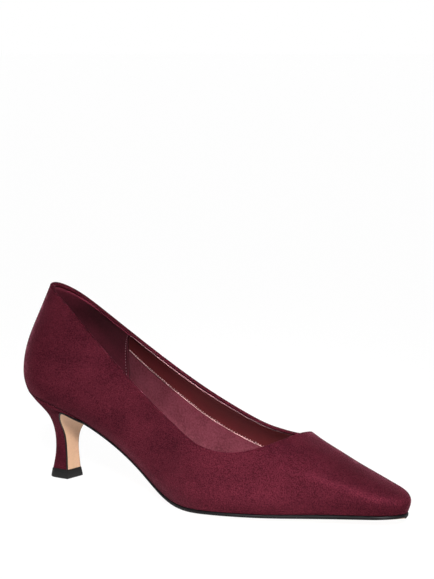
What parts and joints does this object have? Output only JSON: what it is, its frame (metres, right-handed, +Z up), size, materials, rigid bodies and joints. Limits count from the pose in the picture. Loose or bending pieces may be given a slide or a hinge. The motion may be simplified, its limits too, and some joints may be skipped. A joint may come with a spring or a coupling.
{
  "type": "court shoe",
  "caption": "Women's court shoe for the right foot: pointed toe, low-cut collar, hollow suede upper, thin leather sole and a slim flared heel.",
  "frame": {"origin": "on the floor, under the middle of the shoe's length and breadth", "axes": "+X from heel to toe, +Y to the inner side of the foot, +Z up"},
  "size_m": [0.25, 0.0812, 0.1138],
  "materials": {
    "suede": "napped faux suede, burgundy",
    "sock": "fine-grained lining, mauve",
    "sole_leather": "smooth tan, edges painted black",
    "heel_cover": "napped faux suede over a moulded core",
    "top_piece": "satin black"
  },
  "bodies": {
    "root": {"upper": "suede", "insole": "sock", "outsole": "sole_leather", "heel": "heel_cover", "top_piece": "top_piece"}
  },
  "joints": []
}
